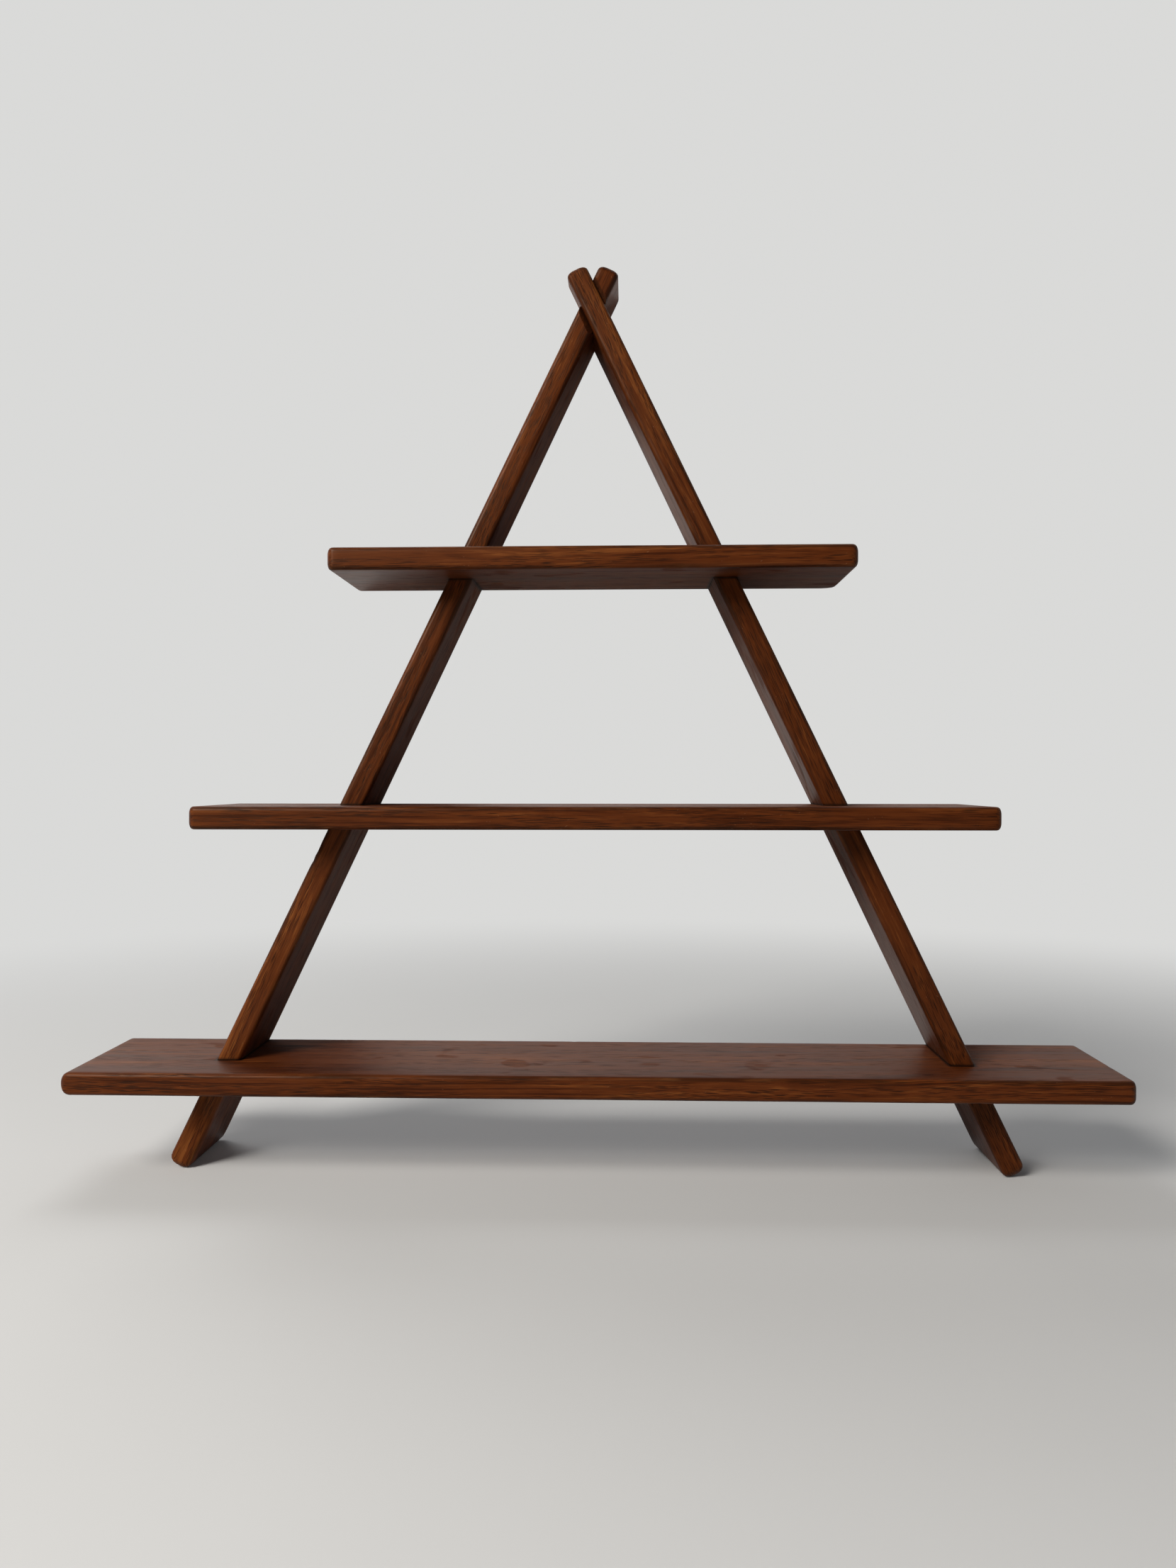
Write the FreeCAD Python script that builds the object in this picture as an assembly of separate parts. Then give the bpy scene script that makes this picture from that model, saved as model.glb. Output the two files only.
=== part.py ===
import FreeCAD, Part
import math
import os
from FreeCAD import Vector

# A-frame shelf: two leaning uprights that cross at the top, and three shelves
# halved onto them. Millimetres. X runs right, Y runs back to the wall, Z runs up.

# Uprights
floor_spread = 652.0         # between the uprights' centre lines at the floor
crossing_height = 684.0      # where the centre lines cross
horn_length = 32.5           # what each upright reaches beyond the crossing
board_thickness = 17.5       # every board
foot_depth = 80.0            # wall to front edge at the foot
tip_depth = 50.0             # wall to front edge at the upper end
front_tongue_depth = 20.0    # what the right upright keeps at the crossing

# Shelves: width and the height of the upper face
top_shelf_width = 402.0
top_shelf_level = 482.0
middle_shelf_width = 610.0
middle_shelf_level = 285.0
bottom_shelf_width = 800.0
bottom_shelf_level = 85.0
shelf_overhang = 43.0        # how far a shelf stands ahead of the uprights

# Rounding
front_edge_radius = 3.5
foot_end_radius = 7.5
tip_end_radius = 5.0
shelf_end_radius = 4.0
bottom_shelf_left_end_radius = 8.0
back_edge_radius = 1.5
shelf_corner_radius = 6.0
top_shelf_right_corner_radius = 14.0
foot_heel_radius = 14.0
tip_back_radius = 7.0
shoulder_bevel = 4.0

# Fits
joint_clearance = 0.15
screw_clearance = 0.05

# Wall hangers, let into the back edge of the top shelf outside the uprights
plate_width = 36.0
plate_height = 14.0
plate_thickness = 1.5
plate_corner_radius = 2.0
keyhole_radius = 3.9         # takes the head of the wall screw
keyhole_slot_radius = 2.0    # takes its neck
keyhole_drop = 2.6           # the round opening, below the plate's middle
keyhole_rise = 2.2           # the neck's seat, above the plate's middle
pocket_radius = 4.4          # room for the screw head behind the plate
pocket_depth = 7.0
plate_screw_offset = 12.5
screw_head_radius = 3.0
screw_head_height = 1.4
screw_shank_radius = 1.4
screw_length = 14.0
screw_slot_width = 0.7
screw_slot_depth = 0.6

lean = math.atan2(floor_spread / 2, crossing_height)
largest_radius = 0.46 * board_thickness
foot_radius = min(foot_end_radius, largest_radius)
tip_radius = min(tip_end_radius, largest_radius)
corner_lift = foot_radius * (math.cos(lean) + math.sin(lean) - 1)
length_below = (crossing_height - board_thickness / 2 * math.sin(lean) + corner_lift) / math.cos(lean)
far = 2 * (floor_spread + crossing_height)


def upright_depth_at(height):
    share = (crossing_height - height) / math.cos(lean) / (length_below + horn_length)
    share += horn_length / (length_below + horn_length)
    return tip_depth + (foot_depth - tip_depth) * share


def shelf_depth_at(level):
    return upright_depth_at(level - board_thickness / 2) + shelf_overhang


wall_y = shelf_depth_at(bottom_shelf_level) / 2


def housing_y(level):
    """Depth at which a shelf and an upright share the halved joint."""
    return wall_y - upright_depth_at(level - board_thickness / 2) / 2


lap_y = wall_y - upright_depth_at(crossing_height) + front_tongue_depth


def rounded_face(corners):
    """A flat face from (point, radius) corners."""
    count = len(corners)
    starts = []
    ends = []
    edges = []
    for i, (corner, radius) in enumerate(corners):
        to_last = (corners[i - 1][0] - corner).normalize()
        to_next = (corners[(i + 1) % count][0] - corner).normalize()
        half_angle = to_last.getAngle(to_next) / 2
        reach = radius / math.tan(half_angle)
        starts.append(corner + to_last * reach)
        ends.append(corner + to_next * reach)
        bisector = (to_last + to_next).normalize()
        middle = corner + bisector * (radius / math.sin(half_angle) - radius)
        edges.append(Part.Arc(starts[i], middle, ends[i]).toShape())
    for i in range(count):
        edges.append(Part.makeLine(ends[i], starts[(i + 1) % count]))
    return Part.Face(Part.Wire(Part.__sortEdges__(edges)))


def box_between(low, high):
    return Part.makeBox(high[0] - low[0], high[1] - low[1], high[2] - low[2], Vector(*low))


def on_upright(shape, side):
    """Moves a shape from an upright's own frame, which starts at the crossing and
    runs up the board along Z, to its place. side is -1 for left and 1 for right."""
    moved = shape.copy()
    turn = FreeCAD.Rotation(Vector(0, 1, 0), -side * math.degrees(lean))
    moved.Placement = FreeCAD.Placement(Vector(0, 0, crossing_height), turn)
    return moved


def upright_band(margin, y_low, y_high):
    """The space that an upright's thickness fills, in its own frame."""
    half = board_thickness / 2 + margin
    return box_between((-half, y_low, -far), (half, y_high, far))


def upright_blank():
    half = board_thickness / 2
    foot_front = wall_y - foot_depth
    tip_front = wall_y - tip_depth
    side_view = rounded_face([
        (Vector(-half, foot_front, -length_below), foot_radius),
        (Vector(-half, tip_front, horn_length), tip_radius),
        (Vector(-half, wall_y, horn_length), tip_back_radius),
        (Vector(-half, wall_y, -length_below), foot_heel_radius),
    ]).extrude(Vector(board_thickness, 0, 0))
    front_view = rounded_face([
        (Vector(-half, foot_front, -length_below), foot_radius),
        (Vector(half, foot_front, -length_below), foot_radius),
        (Vector(half, foot_front, horn_length), tip_radius),
        (Vector(-half, foot_front, horn_length), tip_radius),
    ]).extrude(Vector(0, foot_depth, 0))
    front_rounding = rounded_face([
        (Vector(-half, foot_front, -length_below), front_edge_radius),
        (Vector(half, foot_front, -length_below), front_edge_radius),
        (Vector(half, wall_y + foot_depth, -length_below), front_edge_radius),
        (Vector(-half, wall_y + foot_depth, -length_below), front_edge_radius),
    ]).extrude(Vector(0, tip_front - foot_front, horn_length + length_below))
    back_rounding = rounded_face([
        (Vector(-half, foot_front - foot_depth, -length_below), back_edge_radius),
        (Vector(half, foot_front - foot_depth, -length_below), back_edge_radius),
        (Vector(half, wall_y, -length_below), back_edge_radius),
        (Vector(-half, wall_y, -length_below), back_edge_radius),
    ]).extrude(Vector(0, 0, horn_length + length_below))
    return side_view.common(front_view).common(front_rounding).common(back_rounding)


def housing_notch(level):
    """The front notch in which an upright holds a shelf."""
    floor_y = housing_y(level) + joint_clearance / 2
    low = (-far, floor_y - 2 * foot_depth, level - board_thickness - joint_clearance)
    high = (far, floor_y, level + joint_clearance)
    return box_between(low, high)


def bevel_cutter(direction):
    """Eases one mouth edge of the left upright's lap notch. direction is -1 for
    the shoulder on the notch's left and 1 for the one on its right."""
    front_y = wall_y - upright_depth_at(crossing_height)
    wall_x = direction * (board_thickness / 2 + joint_clearance)
    corners = [
        Vector(wall_x, front_y + shoulder_bevel, -far),
        Vector(wall_x + direction * shoulder_bevel * 2, front_y - shoulder_bevel, -far),
        Vector(wall_x, front_y - shoulder_bevel, -far),
    ]
    return Part.Face(Part.makePolygon(corners + corners[:1])).extrude(Vector(0, 0, 2 * far))


def left_upright():
    board = on_upright(upright_blank(), -1)
    crossing_notch = on_upright(upright_band(joint_clearance, lap_y - 2 * foot_depth, lap_y), 1)
    board = board.cut(crossing_notch)
    for direction in (-1, 1):
        board = board.cut(on_upright(bevel_cutter(direction), 1))
    for level in (bottom_shelf_level, middle_shelf_level, top_shelf_level):
        board = board.cut(housing_notch(level))
    return board


def right_upright():
    """Its back is cut away from the crossing right up to its end."""
    board = on_upright(upright_blank(), 1)
    inner_x = board_thickness / 2 + joint_clearance
    rebate = box_between((-far, lap_y, -far), (inner_x, lap_y + 2 * foot_depth, far))
    board = board.cut(on_upright(rebate, -1))
    for level in (bottom_shelf_level, middle_shelf_level, top_shelf_level):
        board = board.cut(housing_notch(level))
    return board


def shelf_board(width, level, right_corner_radius, left_end_radius):
    half = width / 2
    front_y = wall_y - shelf_depth_at(level)
    low_z = level - board_thickness
    plan = rounded_face([
        (Vector(-half, front_y, low_z), shelf_corner_radius),
        (Vector(half, front_y, low_z), shelf_corner_radius),
        (Vector(half, wall_y, low_z), right_corner_radius),
        (Vector(-half, wall_y, low_z), shelf_corner_radius),
    ]).extrude(Vector(0, 0, board_thickness))
    section = rounded_face([
        (Vector(-half, front_y, low_z), front_edge_radius),
        (Vector(-half, front_y, level), front_edge_radius),
        (Vector(-half, wall_y, level), back_edge_radius),
        (Vector(-half, wall_y, low_z), back_edge_radius),
    ]).extrude(Vector(width, 0, 0))
    left_radius = min(left_end_radius, largest_radius)
    right_radius = min(shelf_end_radius, largest_radius)
    front_view = rounded_face([
        (Vector(-half, front_y, low_z), left_radius),
        (Vector(half, front_y, low_z), right_radius),
        (Vector(half, front_y, level), right_radius),
        (Vector(-half, front_y, level), left_radius),
    ]).extrude(Vector(0, wall_y - front_y, 0))
    board = plan.common(section).common(front_view)
    slot_front = housing_y(level) - joint_clearance / 2
    for side in (-1, 1):
        slot = upright_band(joint_clearance, slot_front, wall_y + foot_depth)
        board = board.cut(on_upright(slot, side))
    return board


def hanger_middle(side):
    """Halfway from the upright's outer face, under the shelf, to the rounded corner."""
    low_z = top_shelf_level - board_thickness
    upright_x = (crossing_height - low_z) * math.tan(lean) + board_thickness / 2 / math.cos(lean)
    corner_x = top_shelf_width / 2 - max(shelf_corner_radius, top_shelf_right_corner_radius)
    return Vector(side * (upright_x + corner_x) / 2, wall_y, low_z + board_thickness / 2)


def plate_block(middle, margin):
    half_width = plate_width / 2 + margin
    half_height = plate_height / 2 + margin
    corners = []
    for x, z in ((-1, -1), (1, -1), (1, 1), (-1, 1)):
        point = middle + Vector(x * half_width, -plate_thickness, z * half_height)
        corners.append((point, plate_corner_radius + margin))
    return rounded_face(corners).extrude(Vector(0, plate_thickness, 0))


def upright_slot(middle, radius, bottom, top, depth):
    """A slot with round ends, cut forward from the wall plane."""
    into = Vector(0, -1, 0)
    low = middle + Vector(0, 0, bottom)
    high = middle + Vector(0, 0, top)
    straight = Part.makeBox(2 * radius, depth, top - bottom, low + Vector(-radius, -depth, 0))
    low_end = Part.makeCylinder(radius, depth, low, into)
    high_end = Part.makeCylinder(radius, depth, high, into)
    return straight.fuse([low_end, high_end])


def plate_screw(place, margin):
    """A countersunk wood screw, without its slot, whose head ends at place."""
    into = Vector(0, -1, 0)
    shank_radius = screw_shank_radius + margin
    head = Part.makeCone(screw_head_radius + margin, shank_radius, screw_head_height, place, into)
    point = place + Vector(0, -screw_head_height, 0)
    shank = Part.makeCylinder(shank_radius, screw_length - screw_head_height + margin, point, into)
    return head.fuse(shank)


def screw_places(side):
    middle = hanger_middle(side)
    return [middle + Vector(x * plate_screw_offset, 0, 0) for x in (-1, 1)]


def hanger_plate(side):
    middle = hanger_middle(side)
    plate = plate_block(middle, 0)
    low = middle + Vector(0, 0, -keyhole_drop)
    plate = plate.cut(Part.makeCylinder(keyhole_radius, plate_thickness, low, Vector(0, -1, 0)))
    plate = plate.cut(upright_slot(middle, keyhole_slot_radius, -keyhole_drop, keyhole_rise, plate_thickness))
    for place in screw_places(side):
        plate = plate.cut(plate_screw(place, screw_clearance))
    return plate


def hanger_screws():
    screws = []
    for side in (-1, 1):
        for place in screw_places(side):
            slot_low = place + Vector(-screw_head_radius, -screw_slot_depth, -screw_slot_width / 2)
            slot = Part.makeBox(2 * screw_head_radius, screw_slot_depth, screw_slot_width, slot_low)
            screws.append(plate_screw(place, 0).cut(slot))
    return Part.makeCompound(screws)


def top_shelf():
    board = shelf_board(top_shelf_width, top_shelf_level, top_shelf_right_corner_radius, shelf_end_radius)
    for side in (-1, 1):
        middle = hanger_middle(side)
        board = board.cut(plate_block(middle, joint_clearance))
        board = board.cut(upright_slot(middle, pocket_radius, -keyhole_drop, keyhole_rise, pocket_depth))
        for place in screw_places(side):
            board = board.cut(plate_screw(place, screw_clearance))
    return board


nodes = {
    "left_upright": left_upright(),
    "right_upright": right_upright(),
    "top_shelf": top_shelf(),
    "middle_shelf": shelf_board(middle_shelf_width, middle_shelf_level, shelf_corner_radius, shelf_end_radius),
    "bottom_shelf": shelf_board(bottom_shelf_width, bottom_shelf_level, shelf_corner_radius,
                                bottom_shelf_left_end_radius),
    "left_hanger_plate": hanger_plate(-1),
    "right_hanger_plate": hanger_plate(1),
    "hanger_screws": hanger_screws(),
}

os.makedirs("parts", exist_ok=True)
for name, shape in nodes.items():
    shape.exportStep("parts/" + name + ".step")
    box = shape.BoundBox
    print(name, len(shape.Solids), shape.isValid(), round(shape.Volume / 1000, 1), "cm3",
          [round(v, 1) for v in (box.XMin, box.XMax, box.YMin, box.YMax, box.ZMin, box.ZMax)])
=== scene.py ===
import bpy
import math
from mathutils import Matrix, Vector, noise


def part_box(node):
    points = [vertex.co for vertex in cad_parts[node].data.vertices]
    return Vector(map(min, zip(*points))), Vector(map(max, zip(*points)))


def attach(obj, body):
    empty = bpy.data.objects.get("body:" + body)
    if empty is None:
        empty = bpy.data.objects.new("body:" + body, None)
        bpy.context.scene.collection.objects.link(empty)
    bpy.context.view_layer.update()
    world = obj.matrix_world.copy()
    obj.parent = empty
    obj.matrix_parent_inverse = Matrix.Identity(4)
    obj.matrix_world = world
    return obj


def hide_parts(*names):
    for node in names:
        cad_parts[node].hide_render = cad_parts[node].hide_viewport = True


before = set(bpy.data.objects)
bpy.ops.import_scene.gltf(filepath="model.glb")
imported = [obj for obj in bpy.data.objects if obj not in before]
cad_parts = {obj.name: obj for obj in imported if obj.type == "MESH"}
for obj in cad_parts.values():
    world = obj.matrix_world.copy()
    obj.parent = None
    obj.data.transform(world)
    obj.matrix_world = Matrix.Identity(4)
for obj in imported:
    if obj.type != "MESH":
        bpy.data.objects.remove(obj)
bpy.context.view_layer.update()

print("frame loaded:", len(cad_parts), "nodes")

# Camera: place in metres, tilt and turn in radians, lens in millimetres.
cameraSizes = {
    "place": (0.0290, -0.9293, 0.3057),
    "tilt": -0.0042,
    "turn": 0.0349,
    "lens": 27.03,
}


def makeCamera(sizes):
    data = bpy.data.cameras.new("shelfCamera")
    data.lens = sizes["lens"]
    data.sensor_width = 36
    data.clip_start = 0.01
    data.clip_end = 60
    camera = bpy.data.objects.new("shelfCamera", data)
    camera.location = sizes["place"]
    camera.rotation_euler = (math.pi / 2 + sizes["tilt"], 0, sizes["turn"])
    bpy.context.scene.collection.objects.link(camera)
    bpy.context.scene.camera = camera


makeCamera(cameraSizes)
bpy.context.scene.view_settings.view_transform = "Standard"


# The boards. Sizes in metres; places come from the frame.
uprightSizes = {
    "spread": 0.652,          # between the centre lines at the floor
    "crossing": 0.684,        # height where they cross
    "horn": 0.0325,
    "footDepth": 0.080,
    "tipDepth": 0.050,
    "tongue": 0.020,
    "footEndRadius": 0.0075,
    "tipEndRadius": 0.005,
    "heelRadius": 0.014,
    "tipBackRadius": 0.007,
    "shoulderBevel": 0.004,
}
boardSizes = {
    "frontRadius": 0.0035,
    "backRadius": 0.0015,
    "gap": 0.00015,
    "step": 0.004,            # along the board
    "acrossFlats": 26,
    "edgeFlats": 4,
    "arcSteps": 6,
    "endSteps": 8,
}
shelfNames = ("top_shelf", "middle_shelf", "bottom_shelf")
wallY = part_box("bottom_shelf")[1].y
level = {n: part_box(n)[1].z for n in shelfNames}
thickness = level["bottom_shelf"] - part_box("bottom_shelf")[0].z
half = thickness / 2
lean = math.atan2(uprightSizes["spread"] / 2, uprightSizes["crossing"])
cornerLift = uprightSizes["footEndRadius"] * (math.cos(lean) + math.sin(lean) - 1)
lengthBelow = (uprightSizes["crossing"] - half * math.sin(lean) + cornerLift) / math.cos(lean)


def depthAtHeight(height):
    share = (uprightSizes["crossing"] - height) / math.cos(lean) + uprightSizes["horn"]
    share /= lengthBelow + uprightSizes["horn"]
    return uprightSizes["tipDepth"] + (uprightSizes["footDepth"] - uprightSizes["tipDepth"]) * share


# Small helpers for node trees: a value given to a socket is a number, a colour or another socket.
def plug(tree, socket, value):
    if isinstance(value, bpy.types.NodeSocket):
        tree.links.new(value, socket)
    elif value is not None:
        socket.default_value = value


def addNode(tree, kind, inputs=(), **settings):
    node = tree.nodes.new(kind)
    for label, value in settings.items():
        setattr(node, label, value)
    for key, value in dict(inputs).items():
        plug(tree, node.inputs[key], value)
    return node


def calc(tree, operation, first, second=None, clamp=False):
    node = addNode(tree, "ShaderNodeMath", operation=operation, use_clamp=clamp)
    for place, value in enumerate((first, second)):
        plug(tree, node.inputs[place], value)
    return node.outputs[0]


def remap(tree, value, fromLow, fromHigh, toLow=0.0, toHigh=1.0):
    node = addNode(tree, "ShaderNodeMapRange", interpolation_type="SMOOTHSTEP")
    for key, number in zip(("Value", "From Min", "From Max", "To Min", "To Max"),
                           (value, fromLow, fromHigh, toLow, toHigh)):
        plug(tree, node.inputs[key], number)
    return node.outputs["Result"]


def blendColour(tree, share, under, over):
    node = addNode(tree, "ShaderNodeMix", data_type="RGBA", clamp_factor=True)
    plug(tree, node.inputs[0], share)
    plug(tree, node.inputs[6], under)
    plug(tree, node.inputs[7], over)
    return node.outputs[2]


def stretched(tree, vector, scale, offset=(0, 0, 0), turn=(0, 0, 0)):
    node = addNode(tree, "ShaderNodeMapping", vector_type="POINT")
    plug(tree, node.inputs["Vector"], vector)
    node.inputs["Location"].default_value = offset
    node.inputs["Rotation"].default_value = turn
    node.inputs["Scale"].default_value = scale
    return node.outputs["Vector"]


def grainNoise(tree, vector, scale, offset=(0, 0, 0), detail=2.0, rough=0.5, bend=0.0):
    node = addNode(tree, "ShaderNodeTexNoise", noise_dimensions="3D")
    plug(tree, node.inputs["Vector"], stretched(tree, vector, scale, offset))
    node.inputs["Scale"].default_value = 1.0
    node.inputs["Detail"].default_value = detail
    node.inputs["Roughness"].default_value = rough
    node.inputs["Distortion"].default_value = bend
    return node.outputs["Fac"]


def newGroup(name, takes, gives):
    group = bpy.data.node_groups.new(name, "ShaderNodeTree")
    for label, kind in takes:
        group.interface.new_socket(label, in_out="INPUT", socket_type="NodeSocket" + kind)
    for label, kind in gives:
        group.interface.new_socket(label, in_out="OUTPUT", socket_type="NodeSocket" + kind)
    return group, group.nodes.new("NodeGroupInput").outputs, group.nodes.new("NodeGroupOutput").inputs


# Teak: growth rings about a heart line, bands of tone, fibres and long open pores along X.
def makeTeakGrain():
    tree, given, result = newGroup("teakGrain", [
        ("Vector", "Vector"),
        ("Heart", "Vector"),
        ("Ring Spacing", "Float"),
        ("Figure", "Float"),
        ("Dark", "Color"),
        ("Middle", "Color"),
        ("Light", "Color"),
        ("Pore Colour", "Color"),
    ], [("Color", "Color"), ("Pores", "Float"), ("Tone", "Float"), ("Height", "Float")])
    vector = given["Vector"]
    drift = addNode(tree, "ShaderNodeTexNoise", {
        "Vector": stretched(tree, vector, (3.2, 14, 14)), "Scale": 1.0, "Detail": 2.0, "Roughness": 0.5})
    centred = addNode(tree, "ShaderNodeVectorMath", {0: drift.outputs["Color"], 1: (0.5, 0.5, 0.5)},
                      operation="SUBTRACT").outputs[0]
    warp = addNode(tree, "ShaderNodeVectorMath", {0: centred, 1: (0.0, 0.016, 0.016)},
                   operation="MULTIPLY").outputs[0]
    warped = addNode(tree, "ShaderNodeVectorMath", {0: vector, 1: warp}, operation="ADD").outputs[0]
    fromHeart = addNode(tree, "ShaderNodeVectorMath", {0: warped, 1: given["Heart"]},
                        operation="SUBTRACT").outputs[0]
    across = addNode(tree, "ShaderNodeVectorMath", {0: fromHeart, 1: (0.035, 1, 1)}, operation="MULTIPLY")
    split = addNode(tree, "ShaderNodeSeparateXYZ", {0: across.outputs[0]})
    sideways = calc(tree, "ADD", split.outputs["Y"], split.outputs["X"])
    radius = calc(tree, "SQRT", calc(tree, "ADD", calc(tree, "MULTIPLY", sideways, sideways),
                                     calc(tree, "MULTIPLY", split.outputs["Z"], split.outputs["Z"])))
    season = calc(tree, "FRACT", calc(tree, "DIVIDE", radius, given["Ring Spacing"]))
    lateWood = calc(tree, "MULTIPLY", remap(tree, season, 0.5, 0.92), remap(tree, season, 1.0, 0.95))
    faint = remap(tree, grainNoise(tree, vector, (6, 70, 70), (2.4, 4.1, 0.9), 2.0), 0.4, 0.62)
    lateWood = calc(tree, "MULTIPLY", lateWood, faint)
    bands = grainNoise(tree, vector, (1.6, 26, 34), (3.1, 0.7, 5.2), 3.0, 0.55)
    streaks = grainNoise(tree, warped, (9, 330, 330), (0.4, 2.2, 1.3), 4.0, 0.65)
    fibres = grainNoise(tree, vector, (45, 1700, 1700), (1.9, 0.2, 4.4), 2.0, 0.6)
    tone = calc(tree, "ADD", 0.5, calc(tree, "MULTIPLY", calc(tree, "SUBTRACT", bands, 0.5), 1.25))
    tone = calc(tree, "ADD", tone, calc(tree, "MULTIPLY", calc(tree, "SUBTRACT", streaks, 0.5), 1.5))
    tone = calc(tree, "ADD", tone, calc(tree, "MULTIPLY", calc(tree, "SUBTRACT", fibres, 0.5), 0.7))
    tone = calc(tree, "SUBTRACT", tone, calc(tree, "MULTIPLY", lateWood, given["Figure"]), clamp=True)
    colour = blendColour(tree, remap(tree, tone, 0.05, 0.5), given["Dark"], given["Middle"])
    colour = blendColour(tree, remap(tree, tone, 0.48, 0.95), colour, given["Light"])
    masks = []
    for scale, low, high, shift in (((45, 1400, 1400), 0.24, 0.44, 0.0),
                                    ((30, 1000, 1000), 0.10, 0.26, 7.3)):
        cells = addNode(tree, "ShaderNodeTexVoronoi", {
            "Vector": stretched(tree, warped, scale, (shift, shift, shift)), "Scale": 1.0, "Randomness": 1.0},
            feature="F1", distance="EUCLIDEAN")
        masks.append(remap(tree, cells.outputs["Distance"], high, low))
    crowd = remap(tree, grainNoise(tree, vector, (7, 140, 140), (5.5, 1.1, 0.3), 2.0), 0.40, 0.54)
    pores = calc(tree, "MULTIPLY", calc(tree, "MAXIMUM", masks[0], masks[1]), crowd)
    colour = blendColour(tree, calc(tree, "MULTIPLY", pores, 0.95), colour, given["Pore Colour"])
    height = calc(tree, "SUBTRACT", calc(tree, "MULTIPLY", fibres, 0.35), pores)
    plug(tree, result["Color"], colour)
    plug(tree, result["Pores"], pores)
    plug(tree, result["Tone"], tone)
    plug(tree, result["Height"], height)
    return tree


# Use: worn arrises, grime beside them, thin scratches and dull marks from cups and hands.
def makeHandWear():
    tree, given, result = newGroup("handWear", [
        ("Vector", "Vector"),
        ("Arris", "Float"),
        ("Seed", "Float"),
    ], [("Worn", "Float"), ("Grime", "Float"), ("Scratches", "Float"), ("Dull", "Float")])
    shift = addNode(tree, "ShaderNodeCombineXYZ", {0: given["Seed"], 1: given["Seed"], 2: given["Seed"]})
    vector = addNode(tree, "ShaderNodeVectorMath", {0: given["Vector"], 1: shift.outputs[0]},
                     operation="ADD").outputs[0]
    rubbed = remap(tree, grainNoise(tree, vector, (22, 90, 90), (0, 0, 0), 4.0, 0.65), 0.52, 0.72)
    arris = remap(tree, given["Arris"], 0.45, 1.0)
    worn = calc(tree, "MULTIPLY", rubbed, arris)
    held = remap(tree, grainNoise(tree, vector, (9, 35, 35), (4.2, 2.6, 1.0), 3.0, 0.55), 0.42, 0.66)
    grime = calc(tree, "MULTIPLY", held, remap(tree, given["Arris"], 0.05, 0.7))
    lines = []
    for turn, offset in (((0, 0.5, 0.25), 0.0), ((0, -0.15, -0.7), 3.7)):
        turned = stretched(tree, vector, (1, 1, 1), (offset, 0, 0), turn)
        dashes = addNode(tree, "ShaderNodeTexVoronoi", {
            "Vector": stretched(tree, turned, (14, 700, 700)), "Scale": 1.0, "Randomness": 1.0})
        chosen = addNode(tree, "ShaderNodeSeparateColor", {0: dashes.outputs["Color"]}).outputs[0]
        thin = remap(tree, dashes.outputs["Distance"], 0.22, 0.1)
        lines.append(calc(tree, "MULTIPLY", thin, remap(tree, chosen, 0.965, 0.99)))
    dull = remap(tree, grainNoise(tree, vector, (20, 34, 34), (1.1, 6.0, 2.2), 2.0, 0.5, 0.4), 0.6, 0.68)
    plug(tree, result["Worn"], worn)
    plug(tree, result["Grime"], grime)
    plug(tree, result["Scratches"], calc(tree, "MAXIMUM", lines[0], lines[1]))
    plug(tree, result["Dull"], dull)
    return tree


# Painted shade where the boards meet: dark lines along the joints and a dark band in the crossing notch, from
# the boards' own sizes.
def makeJointShade():
    tree, given, result = newGroup("jointShade", [
        ("Vector", "Vector"),
        ("Reach", "Float"),
    ], [("On Shelf", "Float"), ("On Upright", "Float"), ("At Crossing", "Float")])
    split = addNode(tree, "ShaderNodeSeparateXYZ", {0: given["Vector"]})
    x, y, z = (split.outputs[k] for k in range(3))
    below = calc(tree, "SUBTRACT", uprightSizes["crossing"], z)
    middle = calc(tree, "MULTIPLY", below, math.tan(lean))
    side = calc(tree, "MULTIPLY", calc(tree, "SUBTRACT", calc(tree, "ABSOLUTE", x), middle), math.cos(lean))
    beside = calc(tree, "MAXIMUM", calc(tree, "SUBTRACT", calc(tree, "ABSOLUTE", side), half), 0.0)
    taper = (depthAtHeight(0.0) - depthAtHeight(uprightSizes["crossing"])) / uprightSizes["crossing"]
    frontY = calc(tree, "ADD", wallY - depthAtHeight(0.0), calc(tree, "MULTIPLY", z, taper))
    ahead = calc(tree, "MAXIMUM", calc(tree, "SUBTRACT", frontY, y), 0.0)
    away = calc(tree, "SQRT", calc(tree, "ADD", calc(tree, "MULTIPLY", beside, beside),
                                   calc(tree, "MULTIPLY", ahead, ahead)))
    plug(tree, result["On Shelf"], remap(tree, away, given["Reach"], 0.0002))
    shade = None
    for node in shelfNames:
        fromMiddle = calc(tree, "ABSOLUTE", calc(tree, "SUBTRACT", z, level[node] - half))
        fromFace = calc(tree, "ABSOLUTE", calc(tree, "SUBTRACT", fromMiddle, half))
        line = remap(tree, fromFace, given["Reach"], 0.0002)
        shade = line if shade is None else calc(tree, "MAXIMUM", shade, line)
    plug(tree, result["On Upright"], shade)
    fromRight = calc(tree, "MULTIPLY", calc(tree, "SUBTRACT", x, middle), math.cos(lean))
    fromBand = calc(tree, "SUBTRACT", calc(tree, "ABSOLUTE", fromRight), half)
    bevel = remap(tree, fromBand, uprightSizes["shoulderBevel"] * 1.15, uprightSizes["shoulderBevel"] * 0.4)
    behind = calc(tree, "SUBTRACT", y, frontY)
    inside = calc(tree, "MULTIPLY", remap(tree, behind, 0.0, 0.0012), remap(tree, behind, 0.008, 0.005))
    plug(tree, result["At Crossing"], calc(tree, "MULTIPLY", bevel, inside))
    return tree


teakGrain = makeTeakGrain()
handWear = makeHandWear()
jointShade = makeJointShade()


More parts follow.
